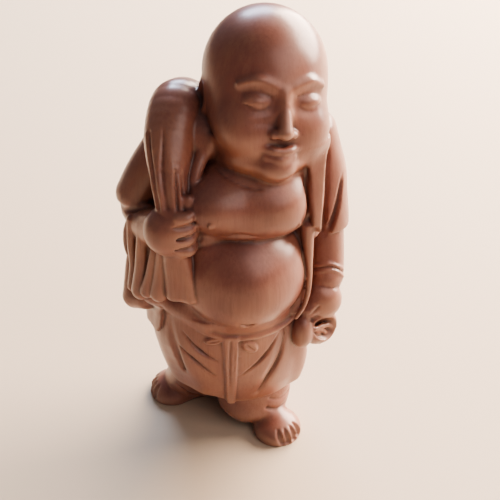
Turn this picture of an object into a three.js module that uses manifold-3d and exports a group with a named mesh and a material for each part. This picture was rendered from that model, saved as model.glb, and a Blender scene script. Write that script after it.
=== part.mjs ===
// A standing buddha figure, carved from one block of hardwood: a stout, bald monk with a bare belly, who holds the
// gathered neck of a sack over its right shoulder and a bunch of cloth in its left hand.
// Millimetres. +Z is up, the figure faces -Y and its right hand is towards -X.
//
// The block is carved as a distance field: each form says how far a point is from its surface, negative inside the
// wood. Wood is added, cut away and raised form by form, and the surface where the field is zero is meshed, thinned
// to a light faceted solid and sawn flat under the feet.

import * as THREE from "three";
import Module from "manifold-3d";

const { clamp, degToRad, lerp, smoothstep } = THREE.MathUtils;

// Driving dimensions of the figure.
const HEAD_AT = [9.2, -2.7, 132.8];
const HEAD_TURN = [-13, 8, 4];
const HEAD_WIDTH = 38;
const MIDDLE = [-1.3, -0.54];
const CELL = 1;
const FACETS = 9000;

// Forms. Each is { distance(x, y, z), box: [lowest corner, highest corner] }.

const FAR = 1e3;
const length = (x, y, z = 0) => Math.sqrt(x * x + y * y + z * z);

function softMin(a, b, blend) {
  const h = Math.max(blend - Math.abs(a - b), 0);
  return Math.min(a, b) - (blend ? (h * h) / (4 * blend) : 0);
}

function softMax(a, b, blend) {
  return -softMin(-a, -b, blend);
}

// Moves a form and turns it, in degrees about X, then Y, then Z.
function placed(form, at, turn = [0, 0, 0]) {
  const euler = new THREE.Euler(...turn.map(degToRad), "ZYX");
  const matrix = new THREE.Matrix4().makeRotationFromEuler(euler).setPosition(...at);
  const [low, high] = form.box.map((corner) => new THREE.Vector3(...corner));
  const box = new THREE.Box3(low, high).applyMatrix4(matrix);
  const [a, b, c, , d, e, f, , g, h, i] = matrix.elements;
  const [ox, oy, oz] = at;
  const distance = (x, y, z) => {
    const dx = x - ox;
    const dy = y - oy;
    const dz = z - oz;
    return form.distance(a * dx + b * dy + c * dz, d * dx + e * dy + f * dz, g * dx + h * dy + i * dz);
  };
  return { distance, box: [box.min.toArray(), box.max.toArray()] };
}

function egg(at, [a, b, c], turn) {
  const distance = (x, y, z) => {
    const reach = length(x / a, y / b, z / c);
    const slope = length(x / (a * a), y / (b * b), z / (c * c));
    return slope < 1e-6 ? -Math.min(a, b, c) : (reach * (reach - 1)) / slope;
  };
  return placed({ distance, box: [[-a, -b, -c], [a, b, c]] }, at, turn);
}

// The point on an upright egg at a heading and a height, both in degrees, `out` from its surface.
function onEgg([x, y, z], [a, b, c], heading, height, out = 0) {
  const [h, v] = [degToRad(heading), degToRad(height)];
  const level = Math.cos(v);
  return [x + (a + out) * Math.sin(h) * level, y - (b + out) * Math.cos(h) * level, z + (c + out) * Math.sin(v)];
}

// A round bar along straight lines between points, or along a smooth curve through them, from radius to radius, and
// `deep` times as deep from front to back as it is wide.
function limb(points, radii, smooth = false, deep = 1) {
  let line = points.map(([x, y, z]) => new THREE.Vector3(x, y / deep, z));
  let thick = points.map((_, i) => (Array.isArray(radii) ? radii[i] : radii));
  if (smooth && points.length > 2) {
    const given = thick;
    line = new THREE.CatmullRomCurve3(line, false, "catmullrom", 0.5).getPoints(4 * (points.length - 1));
    thick = line.map((_, i) => {
      const before = Math.min(Math.floor(i / 4), given.length - 2);
      return lerp(given[before], given[before + 1], i / 4 - before);
    });
  }
  const box = new THREE.Box3();
  line.forEach((p, i) => box.union(new THREE.Box3(p.clone().subScalar(thick[i]), p.clone().addScalar(thick[i]))));
  const bars = line.slice(1).map((end, i) => {
    const start = line[i];
    const way = end.clone().sub(start);
    return [start.x, start.y, start.z, way.x, way.y, way.z, way.lengthSq(), thick[i], thick[i + 1]];
  });
  const distance = (x, y, z) => {
    let nearest = FAR;
    for (const [sx, sy, sz, wx, wy, wz, length2, from, to] of bars) {
      const dx = x - sx;
      const dy = y / deep - sy;
      const dz = z - sz;
      const t = clamp((dx * wx + dy * wy + dz * wz) / length2, 0, 1);
      nearest = Math.min(nearest, length(dx - t * wx, dy - t * wy, dz - t * wz) - lerp(from, to, t));
    }
    return nearest;
  };
  const scale = new THREE.Vector3(1, deep, 1);
  return { distance, box: [box.min.multiply(scale).toArray(), box.max.multiply(scale).toArray()] };
}

// A body of level sections, each [height, centre x, centre y, half width, front depth, back depth], that are ellipses
// squared off by `power`, with a rounded rim at both ends. Its `at` gives the point on its side at a heading in
// degrees, 0 at the front and 90 at the figure's left.
function loft(sections, power, rim) {
  const bottom = sections[0][0];
  const top = sections.at(-1)[0];
  const sectionAt = (z) => {
    let i = 0;
    while (i < sections.length - 2 && z > sections[i + 1][0]) i += 1;
    const t = clamp((z - sections[i][0]) / (sections[i + 1][0] - sections[i][0]), 0, 1);
    return sections[i].map((low, j) => {
      const before = sections[Math.max(i - 1, 0)][j];
      const high = sections[i + 1][j];
      const after = sections[Math.min(i + 2, sections.length - 1)][j];
      const rise = (high - before) / 2;
      const leave = (after - low) / 2;
      return low + t * (rise + t * (3 * (high - low) - 2 * rise - leave + t * (2 * (low - high) + rise + leave)));
    });
  };
  const distance = (x, y, z) => {
    const [, cx, cy, half, front, back] = sectionAt(z);
    const u = Math.abs(x - cx) / half;
    const v = y < cy ? (cy - y) / front : (y - cy) / back;
    const reach = (u ** power + v ** power) ** (1 / power);
    const radius = length(x - cx, y - cy);
    const side = reach < 1e-6 ? -Math.min(half, front, back) : radius - radius / reach;
    return softMax(softMax(side, z - top, rim), bottom - z, rim);
  };
  const at = (heading, z) => {
    const [, cx, cy, half, front, back] = sectionAt(z);
    const [sine, cosine] = [Math.sin(degToRad(heading)), Math.cos(degToRad(heading))];
    const across = Math.sign(sine) * Math.abs(sine) ** (2 / power);
    const along = Math.abs(cosine) ** (2 / power);
    return [cx + half * across, cy + (cosine > 0 ? -front : back) * along, z];
  };
  const wide = Math.max(...sections.map((s) => Math.abs(s[1]) + s[3]));
  const deep = Math.max(...sections.map((s) => Math.abs(s[2]) + Math.max(s[4], s[5])));
  return { distance, at, box: [[-wide, -deep, bottom], [wide, deep, top]] };
}

// A hanging slab of cloth, `taper` times as wide at its foot as at its head, that falls in flutes.
function cloth(at, [width, thick, tall], { turn, taper = 1, flutes = 0, depth = 0, round = 1.5 }) {
  const distance = (x, y, z) => {
    const down = clamp(0.5 - z / (2 * tall), 0, 1);
    const half = width * lerp(1, taper, down);
    const fold = depth * Math.cos((flutes * Math.PI * x) / half) * smoothstep(down, 0, 0.5);
    const dx = Math.abs(x) - half + round;
    const dy = Math.abs(y) - thick - fold + round;
    const dz = Math.abs(z) - tall + round;
    return length(Math.max(dx, 0), Math.max(dy, 0), Math.max(dz, 0)) + Math.min(Math.max(dx, dy, dz), 0) - round;
  };
  const wide = width * Math.max(1, taper);
  return placed({ distance, box: [[-wide, -thick - depth, -tall], [wide, thick + depth, tall]] }, at, turn);
}

// A prism along Y over an outline of [across, up] points, from the `near` to the `far` depth.
function panel(outline, [near, far], at = [0, 0, 0], turn) {
  const distance = (x, y, z) => {
    let nearest = FAR;
    let inside = false;
    for (let i = 0, j = outline.length - 1; i < outline.length; j = i, i += 1) {
      const [ax, az] = outline[i];
      const [bx, bz] = outline[j];
      const wx = bx - ax;
      const wz = bz - az;
      const t = clamp(((x - ax) * wx + (z - az) * wz) / (wx * wx + wz * wz), 0, 1);
      nearest = Math.min(nearest, length(x - ax - t * wx, z - az - t * wz));
      if (az > z !== bz > z && x < ax + ((z - az) * wx) / wz) inside = !inside;
    }
    return Math.max(inside ? -nearest : nearest, near - y, y - far);
  };
  const across = outline.map((p) => p[0]);
  const up = outline.map((p) => p[1]);
  const box = [[Math.min(...across), near, Math.min(...up)], [Math.max(...across), far, Math.max(...up)]];
  return placed({ distance, box }, at, turn);
}

// The carving: a list of steps that the field goes through in order.

const steps = [];
const add = (form, blend = 1) => steps.push({ ...form, blend, work: "add" });
const cut = (form, blend = 0.6) => steps.push({ ...form, blend, work: "cut" });
const raise = (form, height, edge = 1) => steps.push({ ...form, blend: edge, height, work: "raise" });
const score = (points, width, depth) => raise(limb(points, width, true, 3), -depth, width);
const onHead = (form) => placed(form, HEAD_AT, HEAD_TURN);

// Skirt

const skirtSections = [
  [17.5, -1.3, -2, 23, 19.5, 19],
  [26, -1.4, -2, 26, 22, 20.5],
  [36, -2.4, -2, 27.4, 24.5, 21.5],
  [46, -3.6, -2, 27.6, 25.5, 22],
  [60, -2.6, -2, 27.2, 25, 22],
];
const skirt = loft(skirtSections, 2.3, 1.6);
add(skirt, 0.5);
cut(limb([[-29, -30, 6], [-33, -27, 22], [-36, -20, 44]], [18.2, 16, 8], true), 3);

// The bulge of cloth over each hip and the folds that run from there to the middle
add(limb([[16.4, -18.8, 50], [19, -15.8, 34], [18.8, -13.5, 21]], [3, 3.2, 2.5], true), 4);
cut(limb([[12, -25.8, 54], [10.6, -27, 43], [6.4, -26.4, 31.8], [2.6, -24, 23]], [1.2, 1.8, 1.8, 1], true), 2);
cut(limb([[-27.3, -17.5, 58], [-26, -19.5, 48], [-22.5, -18.5, 36]], [0.4, 1.3, 0.7], true), 2);
score([[9.5, -25, 51.5], [4.7, -26.3, 43.9], [-3.8, -26.4, 35.7]], 1.6, 1);
score([[-22.6, -21.1, 54.9], [-17.9, -24.2, 48.6], [-11.9, -26.7, 44.1]], 1.6, 1);
score([[-23.9, -18.1, 47.1], [-19.2, -22.8, 43], [-12.8, -25.2, 35.9]], 1.6, 1);

for (const [top, foot] of [[95, 88], [122, 124], [150, 155], [178, 182], [206, 210], [236, 232], [262, 256]]) {
  cut(limb([skirt.at(top, 50), skirt.at((top + foot) / 2, 34), skirt.at(foot, 18)], [0.8, 1.6, 1.8], true), 1.5);
}

// The hem, lifted over the right foot
cut(panel([[-40, 10], [-40, 23.6], [-20, 23.4], [-12, 22], [-5, 18.6], [0, 17], [0, 10]], [-40, 30]), 0.8);

// The ends of the waist tie and its bow
add(limb([[-9, -26, 56], [-8.8, -26.4, 42], [-8.2, -23, 25]], [1.7, 1.6, 0.9], true), 0.4);
add(limb([[-6, -26.2, 56], [-6.5, -26.4, 42], [-6.8, -22.6, 22]], [1.7, 1.7, 1.5], true), 0.4);
add(egg([-0.8, -27, 50.3], [3.1, 1.6, 3.6], [0, -35, 0]), 0.4);
add(egg([-13, -25.6, 53.6], [3.6, 1.6, 1.5], [0, 8, 0]), 0.4);

// Trousers

const leftCuff = [
  [3.6, 3.8, -6, 11.8, 14, 10],
  [8, 4.1, -7, 13.6, 14.5, 11],
  [14, 4.6, -7, 14, 12.5, 12],
  [22, 3, -6, 12, 11, 12],
];
const rightCuff = [
  [3.6, -14.5, 7, 10.5, 8.5, 10],
  [8, -15, 6.5, 12, 9.5, 11],
  [15, -14, 4, 11, 10, 10],
  [25, -12, 1, 10, 11, 9],
];
add(loft(leftCuff, 2.3, 2), 0.8);
add(loft(rightCuff, 2.3, 2), 0.8);

// Both legs reach the floor behind the feet, which the figure stands on as well
add(loft([[-2, 4.5, -1, 10, 5, 9], [8, 4.3, -2, 12, 6, 9.5]], 2.3, 1), 1.5);
add(loft([[-2, -13.5, 8, 9, 6, 9.5], [8, -14.5, 7.5, 11, 7, 10]], 2.3, 1), 1.5);
score([[7.1, -20.3, 11.4], [11, -20, 9.9], [16, -17, 9.4]], 1.3, 1);
score([[8.6, -19.6, 14.8], [12.5, -19, 13.2], [16.6, -15.6, 12.8]], 1.3, 1);

// Feet

const TOE_RADII = [2.7, 2, 1.9, 1.8, 1.7];
const LEFT_TOES = [[6.4, -26.6], [10.3, -27], [13.3, -25.8], [15.9, -24.2], [17.9, -22.2]];
const RIGHT_TOES = [[-28.4, 3.4], [-30.6, 7], [-31, 10], [-30.6, 13], [-29.6, 15.8]];
function foot(heel, instep, ball, toes) {
  add(limb([heel, instep, ball], [6, 7, 5], true), 1);
  add(egg([ball[0], ball[1], 2], [6.8, 6.8, 4.8]), 1.5);
  toes.forEach(([x, y], i) => {
    const r = TOE_RADII[i];
    add(limb([[lerp(x, ball[0], 0.5), lerp(y, ball[1], 0.5), 3], [x, y, 0.75 * r]], [r, r]), 0.3);
    if (i > 0) {
      const gap = [(x + toes[i - 1][0]) / 2, (y + toes[i - 1][1]) / 2];
      const start = [lerp(gap[0], ball[0], 0.35), lerp(gap[1], ball[1], 0.35)];
      const end = [lerp(gap[0], ball[0], -0.4), lerp(gap[1], ball[1], -0.4)];
      cut(limb([[...start, 6], [...end, 1]], [0.5, 0.8]), 0.3);
    }
  });
}
foot([5, -8, 5], [8.5, -15.5, 4.5], [11.4, -21.4, 2.6], LEFT_TOES);
foot([-12, 6, 5], [-19, 6.5, 4.5], [-25, 8, 2.6], RIGHT_TOES);

// Robe over the back and sides

const robeSections = [
  [46.5, -1.5, 0, 30.8, 18, 24],
  [60, -1, 0, 30, 19, 25],
  [80, -0.5, 0, 29, 18, 26],
  [98, 0.5, 0, 27, 16, 25],
  [111, 3, 1, 24, 13, 20],
  [121, 5, 2, 12, 8, 12],
];
const robe = loft(robeSections, 2.3, 3);
add(robe, 0.5);
const robeFolds = [
  [100, 96], [118, 116], [134, 138], [152, 158], [172, 178], [196, 198], [222, 220], [244, 240],
];
for (const [top, foot] of robeFolds) {
  cut(limb([robe.at(top, 84), robe.at((top + foot) / 2, 66), robe.at(foot, 46)], [0.4, 1.7, 2.2], true), 2);
}
for (const [top, foot] of [[128, 112], [146, 130], [166, 148]]) {
  cut(limb([robe.at(top, 112), robe.at((top + foot) / 2, 98), robe.at(foot, 82)], [0.4, 1.5, 0.6], true), 1.5);
}
const frontHem = [[-34, 46.5], [-30, 48], [-27.6, 52], [-26, 58], [-25, 62], [-25, 80], [-34, 80]];
raise(panel(frontHem, [-30, 0]), 1.2, 0.8);

// The collar, and the mass of cloth over the left breast

add(limb([[18, -8.5, 117], [21.5, -12.8, 109], [21.8, -15, 100], [21.2, -16, 88]], [4, 4.4, 4.4, 4], true), 0.8);
add(limb([[18, -8, 117], [19, 3, 120], [9, 12, 121], [-5, 12, 120], [-12, 0, 119]], 3, true), 1);

// Chest and belly

add(egg([0.5, -7, 99], [19.6, 20, 17]), 2);
add(egg([-9, -15.5, 102], [12.5, 11.5, 9.5]), 3);
add(egg([9.2, -16.1, 101.8], [11, 11.5, 9.5]), 5);
add(egg([11.6, -14.8, 97.6], [8.4, 10.6, 8.6]), 3);
add(limb([[11.5, -9.5, 113], [12.3, -14.4, 105.5]], 6.6), 4);
add(egg([-1, -9, 76], [23, 25.5, 20]), 1);
add(egg([-1, -10.5, 71], [21.5, 23.5, 19.5]), 4);
add(egg([9.5, -11, 82], [11, 12.5, 9.6]), 2);
add(egg([-12, -13.2, 88], [8.6, 10, 11]), 3);
const crease = [[-10, -24.3, 93.8], [-5.9, -26, 95.2], [-1.4, -26.8, 95], [4.5, -26.2, 92.6]];
cut(limb(crease, [0.3, 0.9, 0.9, 0.3], true), 0.6);
add(egg([-12.8, -26.4, 100.3], [1.3, 0.9, 1.3]), 0.4);
add(egg([15.2, -24.6, 95.9], [1.3, 0.9, 1.3]), 0.4);
cut(limb([[-3.6, -31.6, 63.3], [-2.4, -31.9, 62.2], [-1.1, -31.8, 63.4]], [0.5, 0.8, 0.5]), 0.4);

// The waistband under the belly
const band = [
  [-22, -16.5, 60.6], [-19, -21.8, 59], [-15.4, -25, 57.2], [-10.3, -26.8, 55.3], [-4.9, -27.6, 54.5],
  [1.2, -27.6, 54.3], [7.3, -26.5, 54.8], [13, -24.3, 56], [17.4, -21.5, 58],
];
add(limb(band, 1.2, true), 0.5);

// The lower lapel, down to the waist, under the flat upper one, and the deep groove between each and the body

const lowerLapel = [[19.8, -19.8, 92], [20.1, -21.4, 78.5], [20.2, -23, 69], [18.6, -24.4, 62.5], [15.4, -25.8, 58.6]];
add(limb(lowerLapel, [2.3, 1.6, 1.2, 1, 1], true), 0.5);
const lowerGroove = [[16.9, -21.4, 91], [18.1, -22.4, 81], [18.9, -23.4, 73.5], [17.9, -25, 64.7], [14.6, -26.4, 59]];
cut(limb(lowerGroove, [0.5, 0.9, 0.9, 0.9, 0.5], true), 0.4);
add(cloth([22.1, -17.3, 104.5], [3.3, 3, 15], { turn: [-13, 4, 10], taper: 0.42, round: 0.6 }), 0.5);
const upperGroove = [[18.4, -18.5, 114], [18.8, -20.3, 105.5], [19, -21.2, 99], [18.4, -22, 94]];
cut(limb(upperGroove, [1, 1, 0.9, 0.7], true, 1.8), 0.4);
cut(egg([21.2, -24.8, 91], [2.4, 3, 2.6]), 0.4);
add(limb([[-11, -9, 119], [-15.6, -14.5, 111], [-17.6, -18, 102]], [2.6, 2, 1.4], true), 0.6);

// Neck and head

add(egg([6, -5, 114], [15, 14, 8]), 1.5);
add(onHead(egg([0, 1.8, 5.6], [HEAD_WIDTH / 2 + 0.4, 20.4, 20.2])), 1);
add(onHead(egg([0, -2.5, -7.5], [17.8, 16.4, 16.6])), 7);
add(onHead(egg([0, -15.4, -20], [6.4, 5, 4.6])), 4);
add(onHead(egg([-0.6, -5.5, -19.8], [14, 12, 5.2])), 1.5);

// The nose, by its bridge, tip and wings
add(onHead(limb([[0, -17.8, 2.5], [0, -19.8, -4], [0, -21.2, -8.2]], [1.4, 1.9, 2.2], true)), 2.5);
add(onHead(egg([0, -20.8, -8.8], [2.4, 2.2, 1.9])), 1);

for (const side of [-1, 1]) {
  add(onHead(egg([side * 9, -10.6, -9.5], [8.4, 8, 8])), 5);
  add(onHead(egg([side * 2.9, -19.6, -9.3], [1.6, 1.9, 1.4])), 0.8);

  // An eye: the hollow under the brow, the ball, and the lids that nearly close over it
  cut(onHead(egg([side * 8, -20.8, 0.4], [5.4, 2.6, 3])), 3);
  add(onHead(egg([side * 7.9, -15.3, -0.2], [4.6, 3.3, 2.7], [0, 0, side * 14])), 0.8);
  const lid = [[side * 3.9, -17.6, -1.2], [side * 7.9, -18.9, -1.9], [side * 12, -16.2, -0.9]];
  cut(onHead(limb(lid, [0.3, 0.5, 0.3], true)), 0.4);
  const brow = [[side * 3.2, -17.8, 4.6], [side * 8, -17.2, 6.2], [side * 13, -14.4, 4.4]];
  add(onHead(limb(brow, [0.7, 0.9, 0.6], true)), 2);

  // An ear, with its long lobe and its hollow
  add(onHead(egg([side * 18, 3.2, -3], [2.4, 4.6, 7.6])), 0.8);
  add(onHead(egg([side * 17.4, 2, -13.5], [2.2, 3, 6])), 0.8);
  cut(onHead(egg([side * 20.4, 2.4, -2.4], [1.6, 2.6, 4.8])), 0.6);
}

// The mouth, closed
const upperLip = [[-5.6, -17.6, -13.8], [-2.6, -18.9, -14.6], [0, -19.2, -14.9], [2.6, -18.9, -14.6], [5.6, -17.6, -13.8]];
const lowerLip = [[-4.2, -17.8, -16.4], [0, -18.8, -17.1], [4.2, -17.8, -16.4]];
const parting = [[-7, -17.4, -13.8], [-3, -20, -15.4], [0, -20.4, -15.9], [3, -20, -15.4], [7, -17.4, -13.8]];
add(onHead(limb(upperLip, 1.1, true)), 1.2);
add(onHead(limb(lowerLip, 1.2, true)), 1.2);
cut(onHead(limb(parting, [0.3, 0.5, 0.5, 0.5, 0.3], true)), 0.3);

// Left arm, in a wide sleeve over a narrow one

add(limb([[25.5, 1, 114], [28.4, -2, 101], [28.4, -4, 94]], [8.8, 8.8, 8.4], true), 2);
const overSleeve = [
  [84, 29.4, -7.4, 8.2, 8.6, 8],
  [90, 29, -5.6, 8.6, 8.8, 8.6],
  [100, 28.4, -2.6, 8.7, 8.6, 8.8],
  [106, 27.8, -1, 8.4, 8, 8],
];
add(loft(overSleeve, 2, 0.8), 1);
add(limb([[29.4, -7.2, 86], [29.3, -11.6, 73], [28.4, -15.2, 66.5]], [6.4, 6.2, 6.2], true), 0.3);
const sleeveGroove = [[27.4, -12, 113.5], [27, -13.5, 106], [26.8, -14, 101.5], [26.3, -15, 92.5], [25.4, -16.5, 86]];
cut(limb(sleeveGroove, [0.8, 1.2, 1.4, 1.8, 2], true), 0.8);
const sleeveWedge = [[34.6, -8.6, 103.6], [33.6, -10, 99.6], [31.6, -13, 92.5], [29.2, -15, 87], [27, -15.6, 83]];
cut(limb(sleeveWedge, [0.3, 0.9, 1.3, 1.7, 2], true, 1.4), 0.4);
score([[23.8, -16.1, 71.9], [26.2, -17.5, 73.2], [28.7, -18.3, 73.6], [31.6, -18.3, 72.2], [33.9, -17, 69.7]], 1, -0.7);
score([[22.4, -21, 66], [25.4, -21.5, 65.8], [29, -21.5, 65.2], [32.4, -19.8, 64.8], [34, -17, 64.8]], 1.1, 0.9);

// Left hand and the bunch of cloth in it
add(egg([21.6, -22.3, 49], [6.8, 5.8, 7.4]), 0.6);
cut(limb([[21.6, -28, 53], [26, -27.4, 48], [29.6, -26, 44]], [1.2, 3.4, 4.6], true), 0.4);
add(egg([25.6, -18.2, 48], [6, 4.4, 6.8]), 0.8);
for (const end of [[29.6, -20.4, 47], [28, -21.8, 44.4], [25.6, -22.8, 42.4], [22.9, -24.4, 42.2]]) {
  add(limb([[21.4, -25.6, 52.6], end], [0.9, 1]), 0.3);
}
add(egg([27, -19, 59.2], [6.4, 5.6, 7.4]), 0.4);
add(limb([[24.5, -20, 63], [21.8, -22.2, 60], [19.6, -24, 57.4]], [3, 2.6, 1.8], true), 0.8);

// Right arm and its hanging sleeve

add(limb([[-19.4, 4, 113.5], [-27, 4.5, 104], [-32.2, 4.5, 96]], [9, 8, 7.2], true), 3);
add(limb([[-31.8, 3.5, 90.6], [-29.6, -7, 90.4], [-26.8, -13.4, 94]], [6.3, 6.2, 6.2], true), 1);
cut(limb([[-39.8, 4, 93], [-38, -1, 93.2], [-33, -4.6, 95.4], [-28, -5.4, 97]], [1.6, 1.6, 1.1, 0.5], true), 0.8);
add(cloth([-29.2, -3.2, 73.4], [7.6, 4.2, 18.6], { turn: [2, 3, -62], taper: 1.4, round: 3 }), 2);
add(limb([[-28, -7, 88], [-29.5, -9, 74], [-29.5, -9, 65]], [5.6, 5.4, 5], true), 2);

// The rolls that the sleeve hangs in, each [points, radii], and the hollow between them at the back
const sleeveRolls = [
  [[[-34.5, -1, 84], [-36, -1, 74], [-36.4, -1.5, 66], [-36.2, -2.2, 58.5]], [2, 2.2, 3.2, 4.6]],
  [[[-36.2, -2.2, 58.5], [-33, -6, 60]], [4.6, 4.4]],
  [[[-35.6, 4, 86], [-37, 4, 81], [-37.2, 4, 75], [-35.8, 3, 69]], [1.3, 1.3, 1.3, 1.3]],
  [[[-35.4, -5, 92], [-36.2, -6, 83], [-36.2, -6.5, 75], [-37.2, -6.5, 66]], [1.8, 1.6, 1.5, 1.9]],
  [[[-32.2, -10.5, 93], [-33.2, -10.6, 84], [-33.8, -10.8, 76], [-34.6, -11, 67.5]], [2.2, 2.2, 2.6, 3.5]],
];
for (const [points, radii] of sleeveRolls) add(limb(points, radii, true), 0.5);
cut(egg([-37.2, 0, 79.3], [1.7, 2.4, 4.8], [0, 0, 20]), 0.5);
cut(egg([-38, -1, 67], [1.2, 1.4, 2]), 0.5);

// Sack

const sackAt = [-6, 20, 94];
const sackSize = [21, 14, 27];
add(egg(sackAt, sackSize), 2);
for (const heading of [128, 150, 172, 194, 216, 240]) {
  const end = 180 + 1.35 * (heading - 180);
  const places = [[heading, 66], [heading, 40], [end, 5]];
  cut(limb(places.map((place) => onEgg(sackAt, sackSize, ...place)), [1, 1.8, 0.3], true), 1.5);
}
const sackNeck = [[-11, 15, 117], [-16.5, 5, 124.8], [-21, -4.6, 120], [-23.2, -12.8, 112], [-23.3, -17.5, 103]];
add(limb(sackNeck, [10, 9.9, 8.6, 6, 5.2], true), 1);
add(egg([-10, -2, 119], [10, 10, 9]), 1);
score([[-27.9, -7, 124.3], [-28.2, -15.1, 114.4], [-27.7, -19.8, 104.6]], 1.2, 0.8);
score([[-23.8, -9.9, 126.2], [-25.4, -17.2, 115.5], [-25.2, -21.7, 105.3]], 2.2, 0.8);
score([[-21.9, -17.6, 115], [-22.4, -20, 110], [-22.6, -22, 104]], 1.2, 0.9);
score([[-20, -17.6, 112], [-20.2, -20, 108], [-20.3, -22, 104]], 1.1, 0.9);

// The end of the sack's cloth, which comes out under the fist in three flutes
add(limb([[-29, -8.6, 65], [-25, -13, 64.6], [-19, -18, 64.6]], [4.6, 4, 3.4], true), 3);
add(limb([[-29.6, -15.4, 86], [-31.4, -15.2, 76], [-32.8, -14.6, 69.5]], [1.5, 2, 2.6], true), 0.5);
add(limb([[-27.2, -17.8, 87], [-28.2, -17.6, 77], [-29.2, -17.2, 70]], [2, 2.6, 3.2], true), 0.5);
add(cloth([-22.2, -21.2, 79.6], [3.9, 3.4, 11.6], { turn: [-2, 2, -36], taper: 1.8, round: 2.4 }), 0.5);

// Right hand

add(egg([-26.2, -17.6, 95.3], [7, 7, 8.4]), 0.6);
add(egg([-22.2, -20.3, 96.2], [6, 6, 8.8]), 1.5);
add(limb([[-19.6, -13.6, 94], [-18.2, -16, 98], [-17.4, -17.8, 102.4]], [3.4, 3.2, 2.8], true), 1.5);
for (const z of [102.4, 98.3, 94.1, 90.2]) {
  add(limb([[-22, -23.4, z], [-19.4, -23.6, z + 0.3], [-18.2, -21.4, z + 0.6]], [2.2, 2.1, 1.9], true), 0.6);
}
for (const z of [100.4, 96.3, 92.2]) {
  const gap = [[-24.8, -25, z], [-22.2, -25.8, z + 0.1], [-19, -25.6, z + 0.3], [-17.6, -24, z + 0.4]];
  cut(limb(gap, [0.2, 0.9, 1, 0.6], true), 0.3);
}
add(limb([[-19.6, -21.4, 104], [-19, -21.2, 108.2]], [1.6, 1.3]), 0.4);

// Meshing

// The field over a regular grid, worked step by step so that each form is measured only where it acts.
function gridOf(list, box, cell) {
  const count = box.getSize(new THREE.Vector3()).divideScalar(cell).ceil().addScalar(1).toArray();
  const low = box.min.toArray();
  const values = new Float32Array(count[0] * count[1] * count[2]).fill(FAR);
  for (const step of list) {
    const margin = step.blend + 3 * cell;
    const from = step.box[0].map((v, axis) => Math.max(0, Math.floor((v - margin - low[axis]) / cell)));
    const to = step.box[1].map((v, axis) => Math.min(count[axis] - 1, Math.ceil((v + margin - low[axis]) / cell)));
    for (let k = from[2]; k <= to[2]; k += 1) {
      for (let j = from[1]; j <= to[1]; j += 1) {
        for (let i = from[0]; i <= to[0]; i += 1) {
          const index = i + count[0] * (j + count[1] * k);
          const v = step.distance(low[0] + i * cell, low[1] + j * cell, low[2] + k * cell);
          if (step.work === "add") values[index] = softMin(values[index], v, step.blend);
          if (step.work === "cut") values[index] = softMax(values[index], -v, step.blend);
          if (step.work === "raise") values[index] -= step.height * (1 - smoothstep(v, -step.blend, 0));
        }
      }
    }
  }
  return { values, count, low, cell };
}

// Splits each grid cell into six tetrahedra and puts a triangle or two where the surface crosses one.
function surfaceOf({ values, count, low, cell }) {
  const step = [1, count[0], count[0] * count[1]];
  const pointAt = (index) => {
    const k = Math.floor(index / step[2]);
    const j = Math.floor((index - k * step[2]) / step[1]);
    return [index - k * step[2] - j * step[1], j, k].map((n, axis) => low[axis] + n * cell);
  };
  const points = [];
  const faces = [];
  const known = new Map();
  const crossing = (a, b) => {
    const key = Math.min(a, b) * values.length + Math.max(a, b);
    let found = known.get(key);
    if (found === undefined) {
      const t = clamp(values[a] / (values[a] - values[b]), 0.05, 0.95);
      const to = pointAt(b);
      found = points.length;
      known.set(key, found);
      points.push(pointAt(a).map((v, axis) => lerp(v, to[axis], t)));
    }
    return found;
  };
  const triangle = (a, b, c, inside) => {
    const [p, q, r, s] = [points[a], points[b], points[c], pointAt(inside)].map((v) => new THREE.Vector3(...v));
    const normal = q.clone().sub(p).cross(r.sub(p));
    faces.push(normal.dot(p.sub(s)) > 0 ? [a, b, c] : [a, c, b]);
  };
  const ways = [[0, 1], [1, 2], [2, 0], [0, 2], [2, 1], [1, 0]];
  for (let k = 0; k < count[2] - 1; k += 1) {
    for (let j = 0; j < count[1] - 1; j += 1) {
      for (let i = 0; i < count[0] - 1; i += 1) {
        const base = i + j * step[1] + k * step[2];
        let within = 0;
        for (let corner = 0; corner < 8; corner += 1) {
          const index = base + (corner & 1) + ((corner >> 1) & 1) * step[1] + (corner >> 2) * step[2];
          if (values[index] < 0) within += 1;
        }
        if (within === 0 || within === 8) continue;
        for (const [first, second] of ways) {
          const middle = base + step[first] + step[second];
          const corners = [base, base + step[first], middle, base + step[0] + step[1] + step[2]];
          const inner = corners.filter((c) => values[c] < 0);
          const outer = corners.filter((c) => values[c] >= 0);
          if (inner.length === 1) triangle(...outer.map((o) => crossing(inner[0], o)), inner[0]);
          if (inner.length === 3) triangle(...inner.map((n) => crossing(n, outer[0])), inner[0]);
          if (inner.length === 2) {
            const [a, b, c, d] = [[0, 0], [0, 1], [1, 1], [1, 0]].map(([n, o]) => crossing(inner[n], outer[o]));
            triangle(a, b, c, inner[0]);
            triangle(a, c, d, inner[0]);
          }
        }
      }
    }
  }
  return { points, faces };
}

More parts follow.
